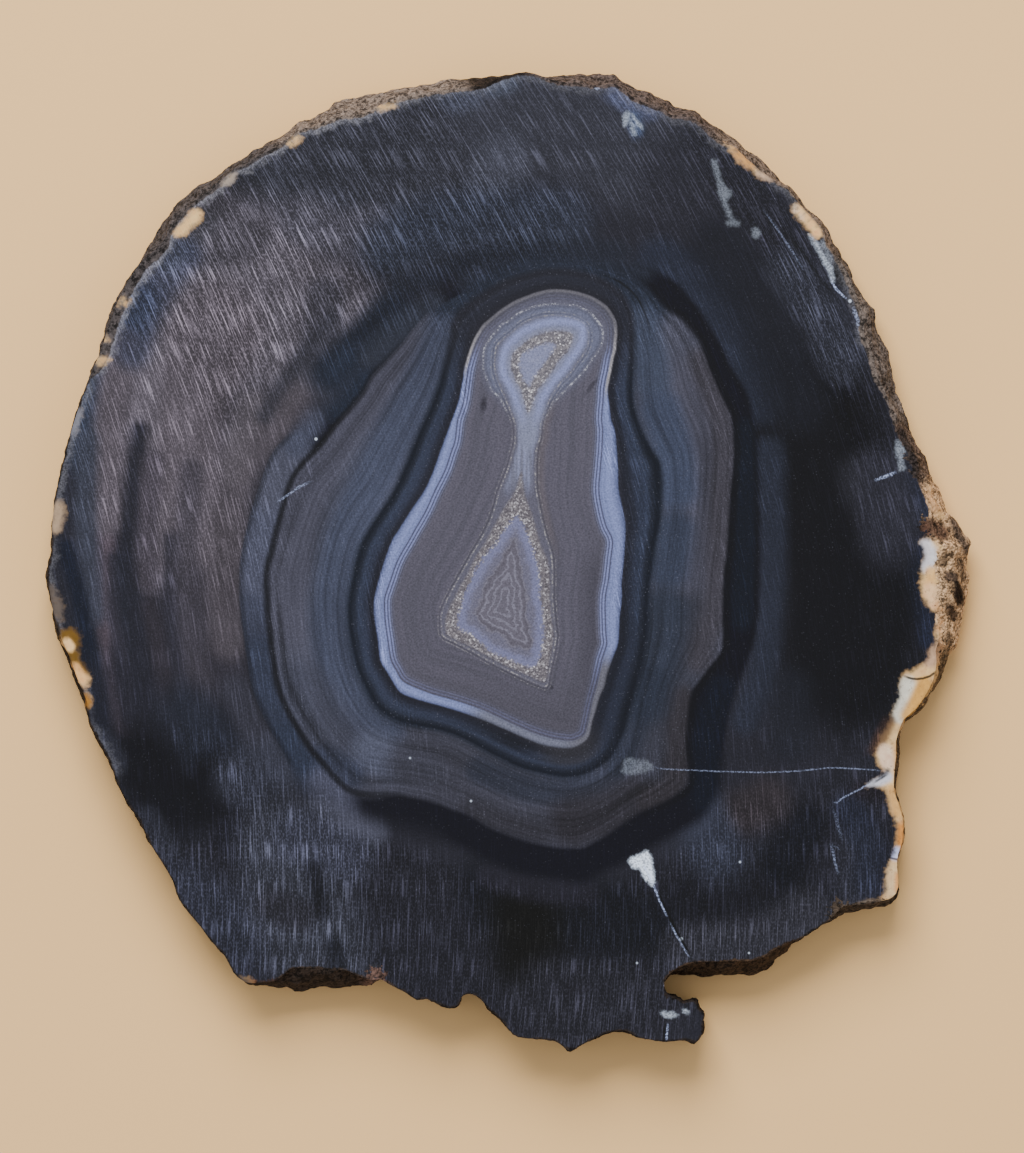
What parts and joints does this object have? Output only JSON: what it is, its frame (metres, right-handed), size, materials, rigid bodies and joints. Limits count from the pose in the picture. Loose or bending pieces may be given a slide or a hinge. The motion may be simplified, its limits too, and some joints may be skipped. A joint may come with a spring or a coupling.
{
  "type": "agate slab",
  "caption": "Sawn slice of a banded agate nodule: flat front and back faces, an irregular rounded outline, and a rough natural rind round its edge.",
  "frame": {"origin": "centre of the slab's box, on the surface that its back face lies on", "axes": "+Z out of the sawn front face, +Y along the slab's longest way, towards its rounded top"},
  "size_m": [0.151, 0.16, 0.0095],
  "materials": {
    "agate": "sawn, semi-matt, with granular brown rind at the edge"
  },
  "bodies": {
    "root": {"agate_slab": "agate"}
  },
  "joints": []
}
